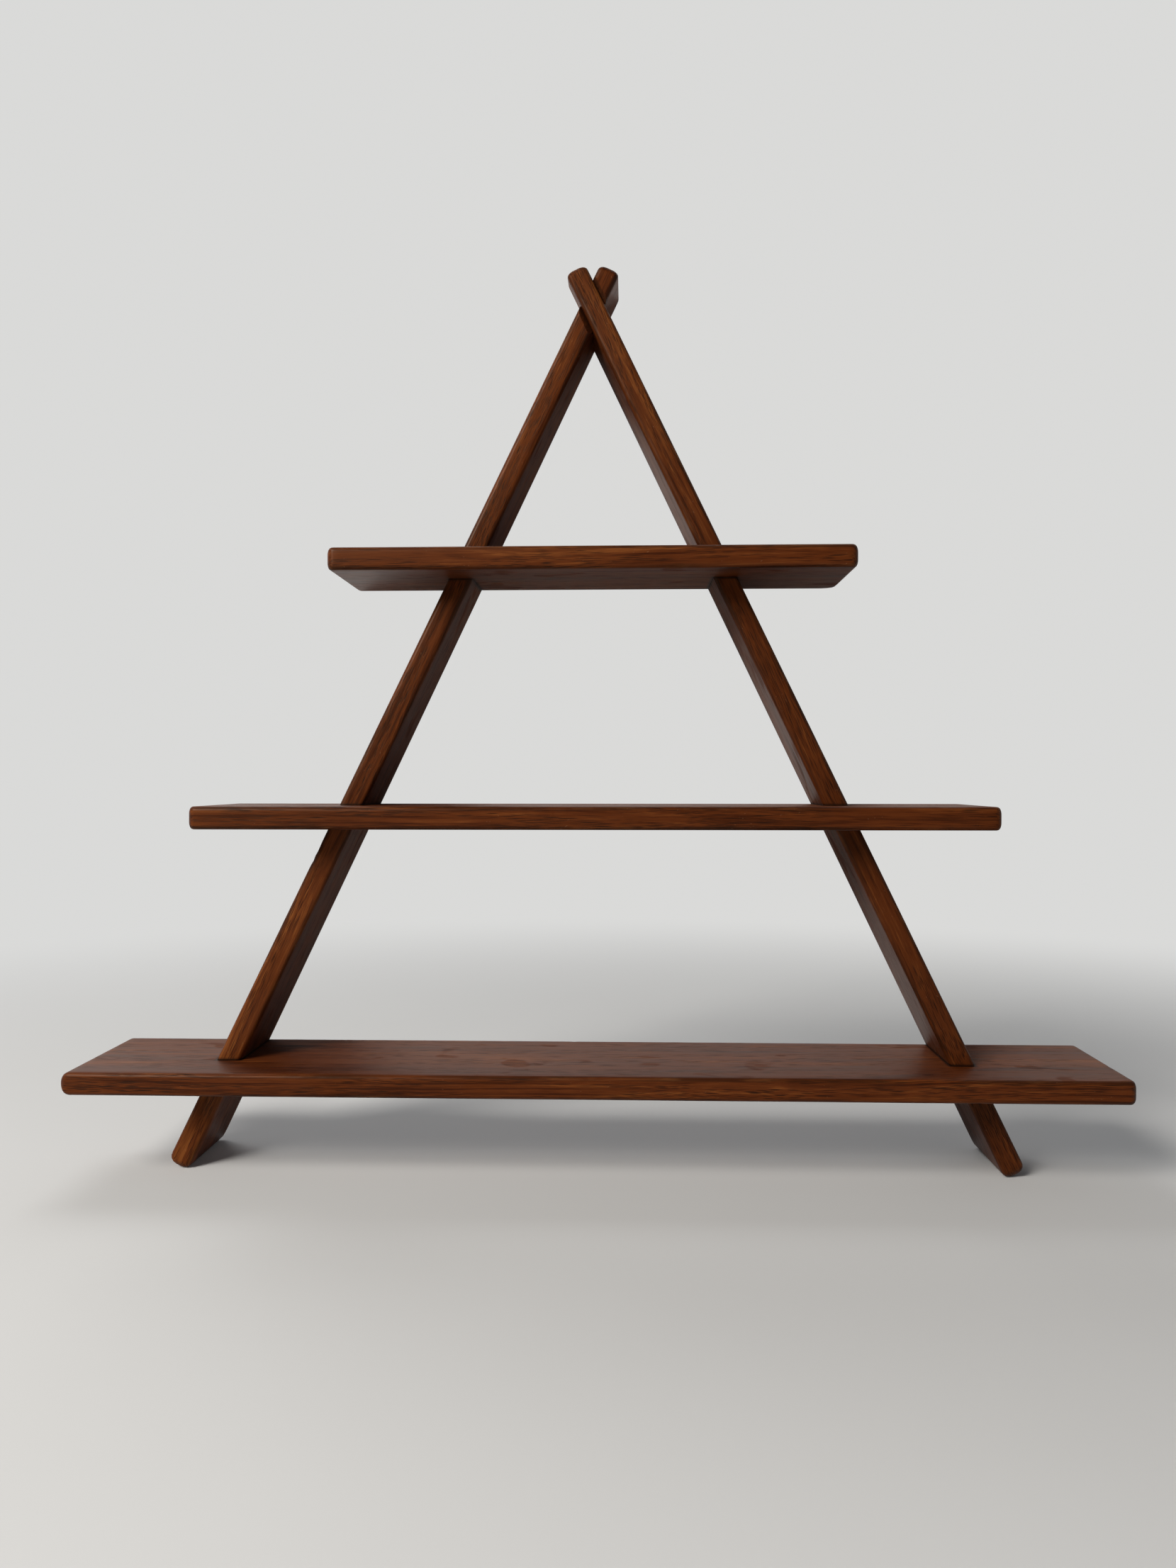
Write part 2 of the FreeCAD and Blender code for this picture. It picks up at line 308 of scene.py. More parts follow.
def placeGroup(tree, group, inputs):
    node = addNode(tree, "ShaderNodeGroup", node_tree=group)
    for key, value in inputs.items():
        plug(tree, node.inputs[key], value)
    return node.outputs


def newMaterial(name):
    material = bpy.data.materials.new(name)
    material.use_nodes = True
    tree = material.node_tree
    tree.nodes.clear()
    shader = tree.nodes.new("ShaderNodeBsdfPrincipled")
    output = tree.nodes.new("ShaderNodeOutputMaterial")
    tree.links.new(shader.outputs[0], output.inputs["Surface"])
    return material, tree, shader


teakColours = {
    "dark": (0.034, 0.0068, 0.0015, 1),
    "middle": (0.084, 0.0190, 0.0037, 1),
    "light": (0.166, 0.049, 0.0105, 1),
    "pore": (0.012, 0.0030, 0.0010, 1),
    "worn": (0.25, 0.100, 0.032, 1),
    # near-black: hand grime beside the arrises, and also the painted shade at the joints and in the crossing
    # notch
    "grime": (0.0085, 0.0030, 0.0015, 1),
    "scratch": (0.36, 0.19, 0.10, 1),
}
teakFinish = {
    "grime": 0.62,            # how far each mark covers the wood
    "worn": 0.18,
    "scratches": 0.22,
    # the next three set the painted shade at the joints and in the crossing notch: its strength, its strength
    # in the notch, and how far it reaches from a joint line
    "paintedShade": 0.97,
    "crossing": 0.75,
    "paintedShadeReach": 0.0026,      # from a joint line
    "roughness": 0.4,
    "specular": 0.15,
    "specularTint": (1.0, 0.6, 0.35, 1),
    "coatRoughness": 0.3,
    "coatClean": 0.05,
    "coatDull": 0.01,
    "bumpStrength": 0.4,
    "bumpDistance": 0.0002,
}


def makeTeak(cut):
    material, tree, shader = newMaterial(cut["name"])
    place = addNode(tree, "ShaderNodeTexCoord").outputs["Object"]
    along = stretched(tree, place, (1, 1, 1), cut["offset"], cut["turn"])
    dark, middle, light = ([c * cut["lift"] for c in teakColours[tone][:3]] + [1]
                           for tone in ("dark", "middle", "light"))
    grain = placeGroup(tree, teakGrain, {
        "Vector": along, "Heart": cut["heart"], "Ring Spacing": cut["ringSpacing"], "Figure": cut["figure"],
        "Dark": dark, "Middle": middle, "Light": light, "Pore Colour": teakColours["pore"]})
    arris = addNode(tree, "ShaderNodeAttribute", attribute_name="arris").outputs["Fac"]
    use = placeGroup(tree, handWear, {"Vector": along, "Arris": arris, "Seed": cut["seed"]})
    colour = grain["Color"]
    for mark, paint in (("Grime", "grime"), ("Worn", "worn"), ("Scratches", "scratch")):
        share = calc(tree, "MULTIPLY", use[mark], teakFinish[mark.lower()])
        colour = blendColour(tree, share, colour, teakColours[paint])
    # Painted shade: the joint lines, and on the notched upright the crossing notch, are blended towards the
    # near-black colour.
    shade = placeGroup(tree, jointShade, {"Vector": place, "Reach": teakFinish["paintedShadeReach"]})
    paintedShade = shade["On Shelf"] if cut["member"] == "Shelf" else shade["On Upright"]
    if cut["member"] == "Notched Upright":
        crossing = calc(tree, "MULTIPLY", shade["At Crossing"], teakFinish["crossing"])
        paintedShade = calc(tree, "MAXIMUM", paintedShade, crossing)
    paintedShade = calc(tree, "MULTIPLY", paintedShade, teakFinish["paintedShade"])
    plug(tree, shader.inputs["Base Color"], blendColour(tree, paintedShade, colour, teakColours["grime"]))
    rough = calc(tree, "ADD", teakFinish["roughness"], calc(tree, "MULTIPLY", grain["Tone"], 0.1))
    rough = calc(tree, "ADD", rough, calc(tree, "MULTIPLY", grain["Pores"], 0.12))
    rough = calc(tree, "ADD", rough, calc(tree, "MULTIPLY", use["Dull"], 0.13))
    rough = calc(tree, "ADD", rough, calc(tree, "MULTIPLY", use["Scratches"], 0.2), clamp=True)
    plug(tree, shader.inputs["Roughness"], rough)
    shader.inputs["Specular IOR Level"].default_value = teakFinish["specular"]
    shader.inputs["Specular Tint"].default_value = teakFinish["specularTint"]
    shader.inputs["Coat Roughness"].default_value = teakFinish["coatRoughness"]
    coat = remap(tree, use["Dull"], 0.0, 1.0, teakFinish["coatClean"], teakFinish["coatDull"])
    plug(tree, shader.inputs["Coat Weight"], coat)
    height = calc(tree, "SUBTRACT", grain["Height"], calc(tree, "MULTIPLY", use["Scratches"], 0.8))
    bump = addNode(tree, "ShaderNodeBump", {
        "Strength": teakFinish["bumpStrength"], "Distance": teakFinish["bumpDistance"], "Height": height})
    plug(tree, shader.inputs["Normal"], bump.outputs[0])
    return material


# How far a rounded end stands in, this far from its tip.
def roundIn(distance, radius):
    if distance >= radius:
        return 0.0
    return radius - math.sqrt(max(0.0, radius * radius - (radius - distance) ** 2))


def stations(low, high, lowRadius, highRadius):
    steps = boardSizes["endSteps"]
    places = [low + lowRadius * (1 - math.cos(k * math.pi / 2 / steps)) for k in range(steps + 1)]
    count = round((high - highRadius - low - lowRadius) / boardSizes["step"])
    gap = (high - highRadius - low - lowRadius) / count
    places += [low + lowRadius + gap * k for k in range(1, count)]
    places += [high - highRadius * (1 - math.cos(k * math.pi / 2 / steps)) for k in range(steps, -1, -1)]
    return places


# (depth, thickness, arris) points once round a board.
def sectionRing(lowY, highY, halfThick, frontRadius, backRadius):
    points = []
    limit = min(halfThick, (highY - lowY) / 2) * 0.995
    corners = ((lowY, -1, frontRadius, 2), (highY, -1, backRadius, 3),
               (highY, 1, backRadius, 0), (lowY, 1, frontRadius, 1))
    arcSteps = boardSizes["arcSteps"]
    arcs = []
    for y, side, radius, quarter in corners:
        radius = min(radius, limit)
        centreY = y + radius if y == lowY else y - radius
        centreT = side * (halfThick - radius)
        arc = []
        for k in range(arcSteps + 1):
            angle = (quarter + k / arcSteps) * math.pi / 2
            arc.append((centreY + radius * math.cos(angle), centreT + radius * math.sin(angle),
                        math.sin(math.pi * k / arcSteps)))
        arcs.append(arc)
    for place, arc in enumerate(arcs):
        points += arc
        start, end = arc[-1], arcs[(place + 1) % 4][0]
        flats = boardSizes["acrossFlats"] if place % 2 == 0 else boardSizes["edgeFlats"]
        for k in range(1, flats):
            share = k / flats
            points.append((start[0] + (end[0] - start[0]) * share,
                           start[1] + (end[1] - start[1]) * share, 0.0))
    return points


# A closed mesh through rings of (point, arris).
def loft(name, rings, inward):
    count = len(rings[0])
    faces = []
    for row in range(len(rings) - 1):
        for k in range(count):
            a, b = row * count + k, row * count + (k + 1) % count
            faces.append((a, b, b + count, a + count) if inward else (b, a, a + count, b + count))
    first = tuple(range(count))
    last = tuple(range((len(rings) - 1) * count, len(rings) * count))
    faces.append(first[::-1] if inward else first)
    faces.append(last if inward else last[::-1])
    mesh = bpy.data.meshes.new(name)
    mesh.from_pydata([p for ring in rings for p, w in ring], [], faces)
    arris = mesh.attributes.new("arris", "FLOAT", "POINT")
    arris.data.foreach_set("value", [w for ring in rings for p, w in ring])
    board = bpy.data.objects.new(name, mesh)
    bpy.context.scene.collection.objects.link(board)
    return board


def softRadius(along, seed):
    return boardSizes["frontRadius"] * (1 + 0.16 * noise.noise(Vector((along * 11, seed, 0.5))))


shelfSizes = {
    "cornerRadius": 0.006,
    "endRadius": 0.004,
    "bottomLeftEnd": 0.008,
    "topRightCorner": 0.014,
}


def shelfRings(node, seed):
    low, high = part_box(node)
    corner, endRadius = shelfSizes["cornerRadius"], shelfSizes["endRadius"]
    backRight = shelfSizes["topRightCorner"] if node == "top_shelf" else corner
    leftEnd = shelfSizes["bottomLeftEnd"] if node == "bottom_shelf" else endRadius
    rings = []
    for x in stations(low.x, high.x, max(corner, leftEnd), backRight):
        fromLeft, fromRight = x - low.x, high.x - x
        front = roundIn(min(fromLeft, fromRight), corner)
        back = roundIn(fromLeft, corner) + roundIn(fromRight, backRight)
        down = roundIn(fromLeft, leftEnd) + roundIn(fromRight, endRadius)
        end = max(0.0, 1 - min(fromLeft / leftEnd, fromRight / endRadius))
        section = sectionRing(low.y + front, high.y - back, half - down, softRadius(x, seed),
                              boardSizes["backRadius"])
        middle = (low.z + high.z) / 2
        rings.append([(Vector((x, y, middle + t)), max(w, end)) for y, t, w in section])
    return rings


def onUpright(side):
    return Matrix.Translation((0, 0, uprightSizes["crossing"])) @ Matrix.Rotation(-side * lean, 4, "Y")


def uprightRings(side, seed):
    place = onUpright(side)
    rings = []
    size = uprightSizes
    for z in stations(-lengthBelow, size["horn"], size["heelRadius"], size["tipBackRadius"]):
        fromFoot, fromTip = z + lengthBelow, size["horn"] - z
        share = fromTip / (lengthBelow + size["horn"])
        depth = size["tipDepth"] + (size["footDepth"] - size["tipDepth"]) * share
        inset = roundIn(fromFoot, size["footEndRadius"]) + roundIn(fromTip, size["tipEndRadius"])
        back = roundIn(fromFoot, size["heelRadius"]) + roundIn(fromTip, size["tipBackRadius"])
        end = max(0.0, 1 - min(fromFoot / size["footEndRadius"], fromTip / size["tipEndRadius"]))
        section = sectionRing(wallY - depth + inset, wallY - back, half - inset, softRadius(z, seed),
                              boardSizes["backRadius"])
        rings.append([(place @ Vector((t, y, z)), max(w, end)) for y, t, w in section])
    return rings


cutterSizes = {               # how far the cutters stand out past the wood
    "shelfReach": 0.02,
    "uprightReach": 0.1,
    "recessReach": 0.01,
    "housingHalf": 0.6,
}


def makeCutter(name, blocks):
    points, faces = [], []
    for corners, sides in blocks:
        faces += [tuple(k + len(points) for k in face) for face in sides]
        points += corners
    mesh = bpy.data.meshes.new(name)
    mesh.from_pydata(points, [], faces)
    cutter = bpy.data.objects.new(name, mesh)
    bpy.context.scene.collection.objects.link(cutter)
    return cutter


# Corners and faces of a prism whose outline runs round Z.
def prismBlock(outline, low, high, place):
    count = len(outline)
    corners = [place @ Vector((x, y, z)) for z in (low, high) for x, y in outline]
    faces = [tuple(range(count))[::-1], tuple(range(count, 2 * count))]
    faces += [(k, (k + 1) % count, (k + 1) % count + count, k + count) for k in range(count)]
    return corners, faces


hangerSizes = {
    "cornerRadius": 0.002,
    "pocketRadius": 0.0044,
    "pocketDepth": 0.007,     # from the wall plane
    "drop": 0.0026,           # the round opening, below the plate's middle
    "rise": 0.0022,           # the neck's seat, above it
}


# The recess for a hanger plate, with the keyhole's pocket behind it.
def recessBlock(plate):
    low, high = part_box(plate)
    gap, size = boardSizes["gap"], hangerSizes
    middleX, middleZ = (low.x + high.x) / 2, (low.z + high.z) / 2
    corner, steps = size["cornerRadius"] + gap, 7
    flatX, flatZ = (high.x - low.x) / 2 + gap - corner, (high.z - low.z) / 2 + gap - corner
    wide, narrow = [], []
    for quarter, (sideX, sideZ) in enumerate(((1, 1), (-1, 1), (-1, -1), (1, -1))):
        for k in range(steps + 1):
            angle = (quarter + k / steps) * math.pi / 2
            wide.append((sideX * flatX + corner * math.cos(angle),
                         sideZ * flatZ + corner * math.sin(angle)))
    for centreZ, start in ((size["rise"], 0.0), (-size["drop"], math.pi)):
        for k in range(2 * steps + 2):
            angle = start + math.pi * k / (2 * steps + 1)
            narrow.append((size["pocketRadius"] * math.cos(angle),
                           centreZ + size["pocketRadius"] * math.sin(angle)))
    rings = ((wide, wallY + cutterSizes["recessReach"]), (wide, low.y - gap),
             (narrow, low.y - gap), (narrow, wallY - size["pocketDepth"]))
    corners = [Vector((middleX + x, y, middleZ + z)) for outline, y in rings for x, z in outline]
    count = len(wide)
    faces = [tuple(range(count))[::-1], tuple(range(3 * count, 4 * count))]
    for row in range(3):
        for k in range(count):
            a, b = row * count + k, row * count + (k + 1) % count
            faces.append((a, b, b + count, a + count))
    return corners, faces


def shelfCutter(node):
    gap = boardSizes["gap"]
    housing = wallY - depthAtHeight(level[node] - half) / 2 - gap / 2
    edge, reach = half + gap, cutterSizes["shelfReach"]
    below = (uprightSizes["crossing"] - level[node] + half) / math.cos(lean)
    outline = [(-edge, housing), (edge, housing), (edge, wallY + reach), (-edge, wallY + reach)]
    blocks = [prismBlock(outline, -below - 2 * reach, -below + 2 * reach, onUpright(side))
              for side in (-1, 1)]
    if node == "top_shelf":
        blocks += [recessBlock(plate) for plate in ("left_hanger_plate", "right_hanger_plate")]
    return makeCutter(node + "Cutter", blocks)


def uprightCutter(side):
    gap = boardSizes["gap"]
    frontY = wallY - depthAtHeight(uprightSizes["crossing"])
    lap = frontY + uprightSizes["tongue"]
    edge, bevel = half + gap, uprightSizes["shoulderBevel"]
    reach, across = cutterSizes["uprightReach"], cutterSizes["housingHalf"]
    blocks = []
    for node in shelfNames:
        housing = wallY - depthAtHeight(level[node] - half) / 2 + gap / 2
        low, high = level[node] - thickness - gap, level[node] + gap
        outline = [(-across, -reach), (across, -reach), (across, housing), (-across, housing)]
        blocks.append(prismBlock(outline, low, high, Matrix.Identity(4)))
    if side < 0:
        wide = edge + 2 * bevel
        outline = [(-edge, lap), (-edge, frontY + bevel), (-wide, frontY - bevel), (-wide, -reach),
                   (wide, -reach), (wide, frontY - bevel), (edge, frontY + bevel), (edge, lap)]
        blocks.append(prismBlock(outline, -reach, reach, onUpright(1)))
    else:
        outline = [(-reach, lap), (edge, lap), (edge, wallY + reach), (-reach, wallY + reach)]
        blocks.append(prismBlock(outline, -reach, reach, onUpright(-1)))
    return makeCutter("uprightCutter", blocks)


dentSizes = {
    "perSquareMetre": 130.0,
    "radius": 0.0065,
    "depth": 0.00045,
}


# Geometry Nodes: scatters shallow dents, cuts the joints and gives the board its wood.
def makeBoardTree():
    tree = bpy.data.node_groups.new("cutAndWearBoard", "GeometryNodeTree")
    for label, kind in (("Board", "Geometry"), ("Cutter", "Object"), ("Dents", "Float"),
                        ("Dent Radius", "Float"), ("Dent Depth", "Float"), ("Seed", "Int"),
                        ("Wood", "Material")):
        tree.interface.new_socket(label, in_out="INPUT", socket_type="NodeSocket" + kind)
    tree.interface.new_socket("Board", in_out="OUTPUT", socket_type="NodeSocketGeometry")
    given = tree.nodes.new("NodeGroupInput").outputs
    result = tree.nodes.new("NodeGroupOutput").inputs
    points = addNode(tree, "GeometryNodeDistributePointsOnFaces", {
        "Mesh": given["Board"], "Density": given["Dents"], "Seed": given["Seed"]},
        distribute_method="RANDOM")
    near = addNode(tree, "GeometryNodeProximity", {"Geometry": points.outputs["Points"]},
                   target_element="POINTS")
    patch = addNode(tree, "ShaderNodeTexNoise", {"Scale": 35.0, "Detail": 1.0})
    spread = remap(tree, patch.outputs["Fac"], 0.3, 0.7, 0.35, 1.0)
    reach = calc(tree, "MULTIPLY", given["Dent Radius"], spread)
    share = calc(tree, "SUBTRACT", 1.0, calc(tree, "DIVIDE", near.outputs["Distance"], reach), clamp=True)
    depth = calc(tree, "MULTIPLY", remap(tree, share, 0.0, 1.0), given["Dent Depth"])
    sink = calc(tree, "MULTIPLY", depth, -1.0)
    normal = addNode(tree, "GeometryNodeInputNormal").outputs[0]
    offset = addNode(tree, "ShaderNodeVectorMath", {0: normal, "Scale": sink}, operation="SCALE")
    dented = addNode(tree, "GeometryNodeSetPosition", {
        "Geometry": given["Board"], "Offset": offset.outputs[0]})
    cutter = addNode(tree, "GeometryNodeObjectInfo", {"Object": given["Cutter"]}, transform_space="ORIGINAL")
    cut = addNode(tree, "GeometryNodeMeshBoolean", {
        "Mesh 1": dented.outputs[0], "Mesh 2": cutter.outputs["Geometry"]},
        operation="DIFFERENCE", solver="MANIFOLD")
    angle = addNode(tree, "GeometryNodeInputMeshEdgeAngle").outputs["Unsigned Angle"]
    crisp = addNode(tree, "FunctionNodeCompare", {0: angle, 1: math.radians(28)}, data_type="FLOAT",
                    operation="LESS_THAN")
    faceSmooth = addNode(tree, "GeometryNodeSetShadeSmooth", {
        "Geometry": cut.outputs[0], "Shade Smooth": True}, domain="FACE")
    smooth = addNode(tree, "GeometryNodeSetShadeSmooth", {
        "Geometry": faceSmooth.outputs[0], "Shade Smooth": crisp.outputs[0]}, domain="EDGE")
    real = addNode(tree, "GeometryNodeRealizeInstances", {"Geometry": smooth.outputs[0]})
    painted = addNode(tree, "GeometryNodeSetMaterial", {
        "Geometry": real.outputs[0], "Material": given["Wood"]})
    tree.links.new(painted.outputs[0], result["Board"])
    return tree


boardTree = makeBoardTree()


def finishBoard(source, cutter, node, body, wood, seed):
    socket = {s.name: s.identifier for s in boardTree.interface.items_tree if s.in_out == "INPUT"}
    step = source.modifiers.new("boardTree", "NODES")
    step.node_group = boardTree
    step[socket["Cutter"]] = cutter
    step[socket["Dents"]] = dentSizes["perSquareMetre"]
    step[socket["Dent Radius"]] = dentSizes["radius"]
    step[socket["Dent Depth"]] = dentSizes["depth"]
    step[socket["Seed"]] = seed
    step[socket["Wood"]] = wood
    bpy.context.view_layer.update()
    graph = bpy.context.evaluated_depsgraph_get()
    mesh = bpy.data.meshes.new_from_object(source.evaluated_get(graph), preserve_all_data_layers=True,
                                           depsgraph=graph)
    pieceName = source.name + "Board"
    for extra in (source, cutter):
        bpy.data.objects.remove(extra)
    piece = bpy.data.objects.new(pieceName, mesh)
    bpy.context.scene.collection.objects.link(piece)
    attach(piece, body)
    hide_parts(node)
    print("board:", piece.name, len(mesh.vertices), "points", len(mesh.polygons), "faces")


# How each board was cut: turn and offset lay the grain along it, heart is where its rings centre.
woodCuts = {
    "left_upright": {
        "name": "leftUprightTeak", "member": "Notched Upright", "seed": 1.3, "lift": 0.97,
        "turn": (0.0, math.pi / 2 - lean + 0.022, 0.0), "offset": (0.0, 0.0, 0.0),
        "heart": (0, -0.03, 0.05), "ringSpacing": 0.0048, "figure": 0.22},
    "right_upright": {
        "name": "rightUprightTeak", "member": "Upright", "seed": 2.9, "lift": 0.82,
        "turn": (0.0, math.pi / 2 + lean - 0.016, 0.0), "offset": (0.3, 0.05, 0.0),
        "heart": (0, -0.05, 0.04), "ringSpacing": 0.0052, "figure": 0.22},
    "top_shelf": {
        "name": "topShelfTeak", "member": "Shelf", "seed": 4.1, "lift": 0.92,
        "turn": (0, 0.006, 0.02), "offset": (0.7, 0.02, 0.1),
        "heart": (0, 0.05, -0.09), "ringSpacing": 0.0060, "figure": 0.24},
    "middle_shelf": {
        "name": "middleShelfTeak", "member": "Shelf", "seed": 5.7, "lift": 0.97,
        "turn": (0, -0.008, 0.015), "offset": (0.2, 0.07, 0.3),
        "heart": (0, 0.02, 0.12), "ringSpacing": 0.0055, "figure": 0.24},
    "bottom_shelf": {
        "name": "bottomShelfTeak", "member": "Shelf", "seed": 7.7, "lift": 1.0,
        "turn": (0, 0.004, -0.022), "offset": (0.5, 0.04, 0.2),
        "heart": (0, 0.0, 0.02), "ringSpacing": 0.0045, "figure": 0.34},
}
woods = {node: makeTeak(cut) for node, cut in woodCuts.items()}
print("woods mixed:", len(woods))

finishBoard(loft("left", uprightRings(-1, 0.3), False), uprightCutter(-1), "left_upright", "frame",
            woods["left_upright"], 3)
finishBoard(loft("right", uprightRings(1, 1.7), False), uprightCutter(1), "right_upright", "frame",
            woods["right_upright"], 8)
for place, node in enumerate(shelfNames):
    rings = shelfRings(node, 3.1 + place)
    finishBoard(loft(node.split("_")[0] + "Shelf", rings, True), shelfCutter(node), node, node,
                woods[node], 11 + place)


brassFinishes = {
    "plateBrass": {"bright": (0.66, 0.46, 0.19, 1), "tarnish": (0.25, 0.14, 0.055, 1), "brushed": 0.5},
    "screwBrass": {"bright": (0.70, 0.50, 0.23, 1), "tarnish": (0.30, 0.18, 0.07, 1), "brushed": 0.42},
}


# Brass hangers and screws keep their frame meshes and get a tarnished finish.
def makeBrass(name, finish):
    material, tree, shader = newMaterial(name)
    place = addNode(tree, "ShaderNodeTexCoord").outputs["Object"]
    cloud = grainNoise(tree, place, (160, 160, 160), (0.3, 0.1, 0.6), 4.0, 0.6)
    brush = grainNoise(tree, place, (300, 300, 6000), (0, 0, 0), 2.0)
    share = remap(tree, cloud, 0.36, 0.68)
    colour = blendColour(tree, share, finish["bright"], finish["tarnish"])
    plug(tree, shader.inputs["Base Color"], colour)
    shader.inputs["Metallic"].default_value = 1.0
    rough = calc(tree, "ADD", calc(tree, "MULTIPLY", share, 0.22),
                 calc(tree, "MULTIPLY", brush, finish["brushed"]), clamp=True)
    plug(tree, shader.inputs["Roughness"], rough)
    bump = addNode(tree, "ShaderNodeBump", {"Strength": 0.3, "Distance": 0.00005, "Height": brush})
    plug(tree, shader.inputs["Normal"], bump.outputs[0])
    return material


brasses = {name: makeBrass(name, finish) for name, finish in brassFinishes.items()}
for node, brass in (("left_hanger_plate", "plateBrass"), ("right_hanger_plate", "plateBrass"),
                    ("hanger_screws", "screwBrass")):
    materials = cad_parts[node].data.materials
    materials.clear()
    materials.append(brasses[brass])
print("hangers finished")

# Stage: a pale floor and soft light from the upper left.
stageSizes = {
    "floorHalf": 12.0,
    "floorColour": (0.60, 0.595, 0.58, 1),
    "backdrop": (0.70, 0.70, 0.69, 1),
    "skyColour": (0.92, 0.94, 1.0, 1),
    "skyStrength": 0.07,
    "skyBehind": 0.17,
    "wallGlow": 0.55,
    "cardHalf": 2.0,
    "cardHeight": 2.2,
    "cardGap": 0.002,
    "cardColour": (0.74, 0.73, 0.72, 1),
    "cardShade": (0.70, 0.69, 0.68, 1),
}


def makeFloor(sizes):
    reach = sizes["floorHalf"]
    mesh = bpy.data.meshes.new("paleFloor")
    corners = [(-reach, -reach, 0), (reach, -reach, 0), (reach, reach, 0), (-reach, reach, 0)]
    mesh.from_pydata(corners, [], [(0, 1, 2, 3)])
    floor = bpy.data.objects.new("paleFloor", mesh)
    bpy.context.scene.collection.objects.link(floor)
    material, tree, shader = newMaterial("palePaint")
    place = addNode(tree, "ShaderNodeTexCoord").outputs["Object"]
    cloud = grainNoise(tree, place, (2.5, 2.5, 2.5), (0, 0, 0), 3.0)
    darker = [c * 0.97 for c in sizes["floorColour"][:3]] + [1]
    paint = blendColour(tree, cloud, sizes["floorColour"], darker)
    seen = addNode(tree, "ShaderNodeLightPath").outputs["Is Camera Ray"]
    plug(tree, shader.inputs["Base Color"], paint)
    plug(tree, shader.inputs["Roughness"], remap(tree, cloud, 0.3, 0.7, 0.6, 0.7))
    shader.inputs["Specular IOR Level"].default_value = 0.0
    # far from the shelf the floor runs into the backdrop without a horizon
    away = addNode(tree, "ShaderNodeVectorMath", {0: place}, operation="LENGTH").outputs["Value"]
    fade = calc(tree, "MULTIPLY", remap(tree, away, 0.5, 1.7), seen)
    distance = addNode(tree, "ShaderNodeEmission", {"Color": sizes["backdrop"], "Strength": 1.0})
    both = addNode(tree, "ShaderNodeMixShader", {0: fade, 1: shader.outputs[0], 2: distance.outputs[0]})
    output = [n for n in tree.nodes if n.type == "OUTPUT_MATERIAL"][0]
    tree.links.new(both.outputs[0], output.inputs["Surface"])
    mesh.materials.append(material)


# A pale card stands just behind the shelf. Only the gloss of the wood sees its front.
def makeCard(sizes):
    reach, back, top = sizes["cardHalf"], wallY + sizes["cardGap"], sizes["cardHeight"]
    mesh = bpy.data.meshes.new("paleCard")
    corners = [(-reach, back, 0), (reach, back, 0), (reach, back, top), (-reach, back, top)]
    mesh.from_pydata(corners, [], [(0, 1, 2, 3)])
    card = bpy.data.objects.new("paleCard", mesh)
    bpy.context.scene.collection.objects.link(card)
    material, tree, shader = newMaterial("cardPaint")
    place = addNode(tree, "ShaderNodeTexCoord").outputs["Object"]
    cloud = grainNoise(tree, place, (6, 6, 6), (0, 0, 0), 3.0)
    paint = blendColour(tree, cloud, sizes["cardColour"], sizes["cardShade"])
    plug(tree, shader.inputs["Base Color"], paint)
    plug(tree, shader.inputs["Roughness"], remap(tree, cloud, 0.3, 0.7, 0.7, 0.8))
    clear = tree.nodes.new("ShaderNodeBsdfTransparent")
    side = addNode(tree, "ShaderNodeNewGeometry").outputs["Backfacing"]
    # what leaves the back of a board passes through
    travelled = addNode(tree, "ShaderNodeLightPath").outputs["Ray Length"]
    touching = calc(tree, "LESS_THAN", travelled, 3 * sizes["cardGap"])
    side = calc(tree, "MAXIMUM", side, touching)
    both = addNode(tree, "ShaderNodeMixShader", {0: side, 1: shader.outputs[0], 2: clear.outputs[0]})
    output = [n for n in tree.nodes if n.type == "OUTPUT_MATERIAL"][0]
    tree.links.new(both.outputs[0], output.inputs["Surface"])
    mesh.materials.append(material)
    card.visible_camera = False
    card.visible_diffuse = False
    card.visible_transmission = False
    card.visible_volume_scatter = False
    card.visible_shadow = False


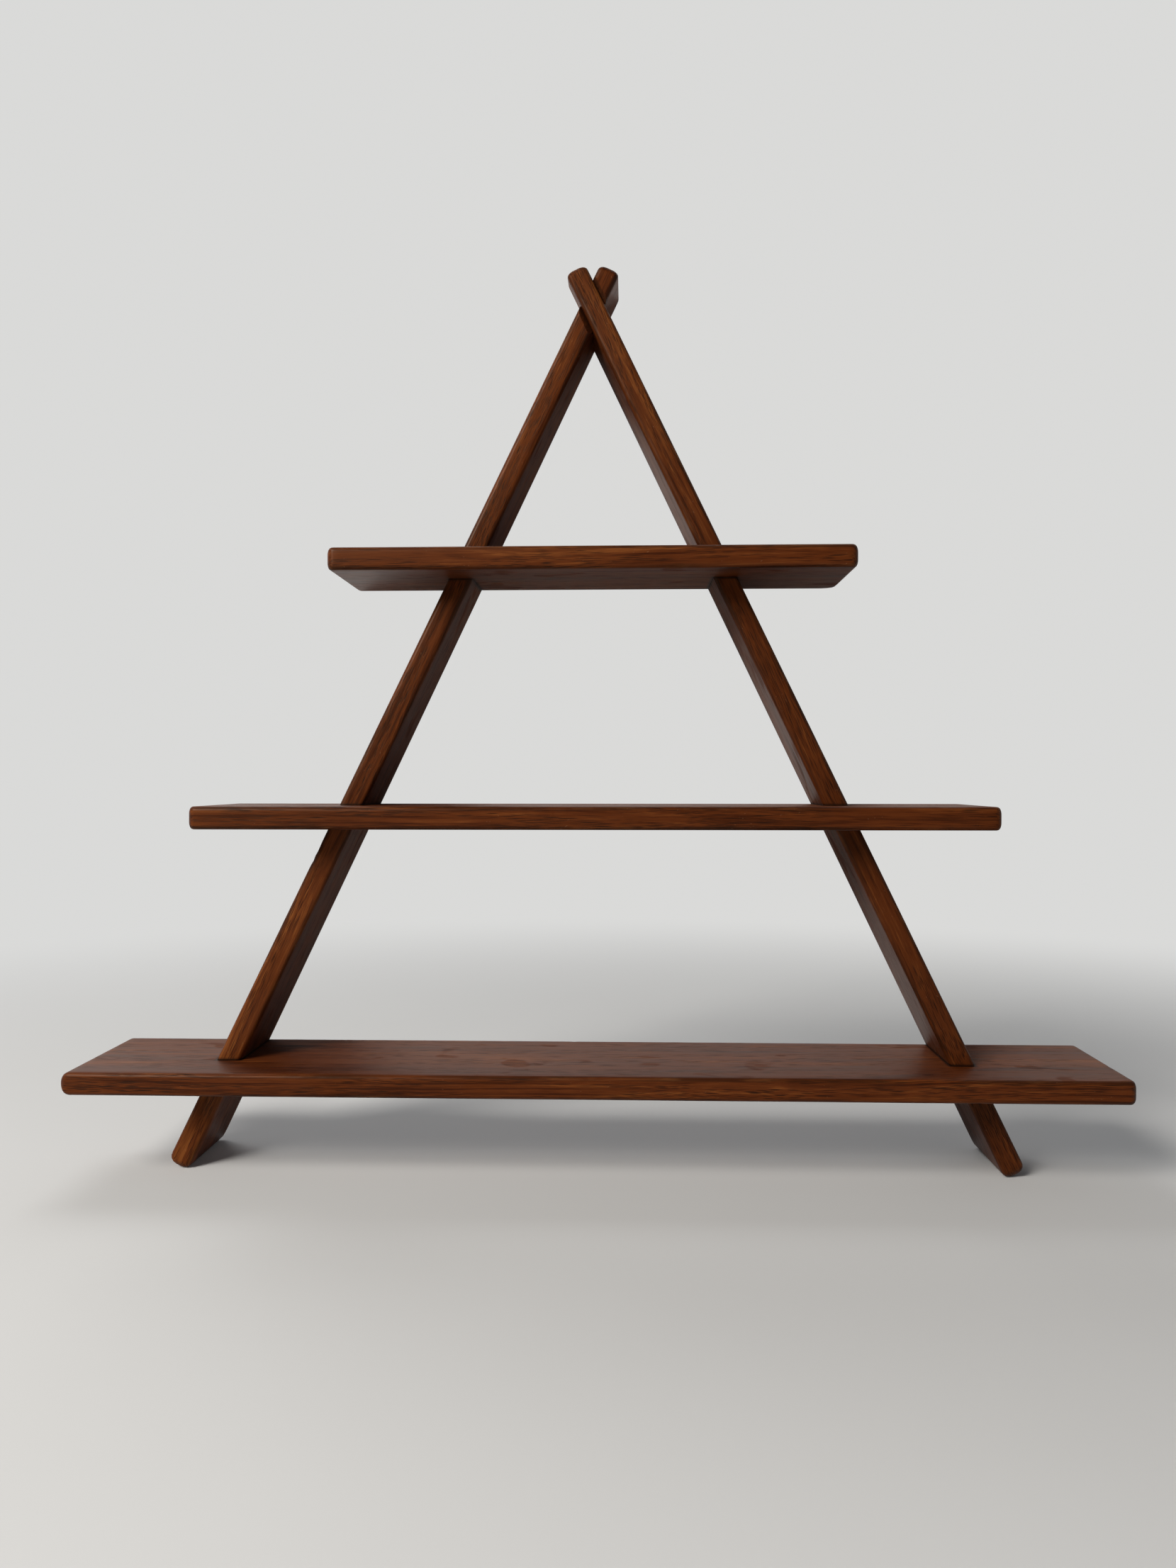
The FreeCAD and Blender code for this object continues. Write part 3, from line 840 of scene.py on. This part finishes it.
lightSizes = {
    "windowLight": {"place": (-1.75, -1.95, 1.9), "target": (0, 0, 0.35), "size": (1.3, 1.3),
                    "power": 118, "colour": (1.0, 0.975, 0.94)},
    "fillLight": {"place": (1.8, -1.6, 0.9), "target": (0, 0, 0.3), "size": (1.5, 1.2),
                  "power": 3, "colour": (0.93, 0.96, 1.0)},
    "backLight": {"place": (-0.9, 1.7, 2.3), "target": (0, 0, 0.35), "size": (1.5, 1.2),
                  "power": 24, "colour": (0.96, 0.98, 1.0)},
}


def makeLight(name, light):
    data = bpy.data.lights.new(name, "AREA")
    data.shape = "RECTANGLE"
    data.size, data.size_y = light["size"]
    data.energy = light["power"]
    data.color = light["colour"]
    lamp = bpy.data.objects.new(name, data)
    lamp.location = light["place"]
    aim = Vector(light["target"]) - Vector(light["place"])
    lamp.rotation_euler = aim.to_track_quat("-Z", "Y").to_euler()
    bpy.context.scene.collection.objects.link(lamp)


def makeSky(sizes):
    world = bpy.data.worlds.new("paleStudio")
    world.use_nodes = True
    bpy.context.scene.world = world
    tree = world.node_tree
    glow = tree.nodes["Background"]
    glow.inputs["Color"].default_value = sizes["skyColour"]
    # brighter low behind the shelf, where a pale wall would stand
    heading = addNode(tree, "ShaderNodeTexCoord").outputs["Generated"]
    ray = addNode(tree, "ShaderNodeSeparateXYZ", {0: heading})
    behind = calc(tree, "MULTIPLY", remap(tree, ray.outputs["Y"], 0.1, 0.8),
                  remap(tree, ray.outputs["Z"], 0.02, 0.16))
    behind = calc(tree, "MULTIPLY", behind, remap(tree, ray.outputs["Z"], 0.75, 0.4))
    strength = remap(tree, ray.outputs["Y"], -0.3, 0.4, sizes["skyStrength"], sizes["skyBehind"])
    strength = calc(tree, "ADD", strength, calc(tree, "MULTIPLY", behind, sizes["wallGlow"]))
    plug(tree, glow.inputs["Strength"], strength)
    seen = addNode(tree, "ShaderNodeBackground", {"Color": sizes["backdrop"], "Strength": 1.0})
    cameraRay = addNode(tree, "ShaderNodeLightPath").outputs["Is Camera Ray"]
    choose = addNode(tree, "ShaderNodeMixShader", {0: cameraRay, 1: glow.outputs[0], 2: seen.outputs[0]})
    tree.links.new(choose.outputs[0], tree.nodes["World Output"].inputs["Surface"])


makeFloor(stageSizes)
makeCard(stageSizes)
makeSky(stageSizes)
for name, light in lightSizes.items():
    makeLight(name, light)
print("stage lit")
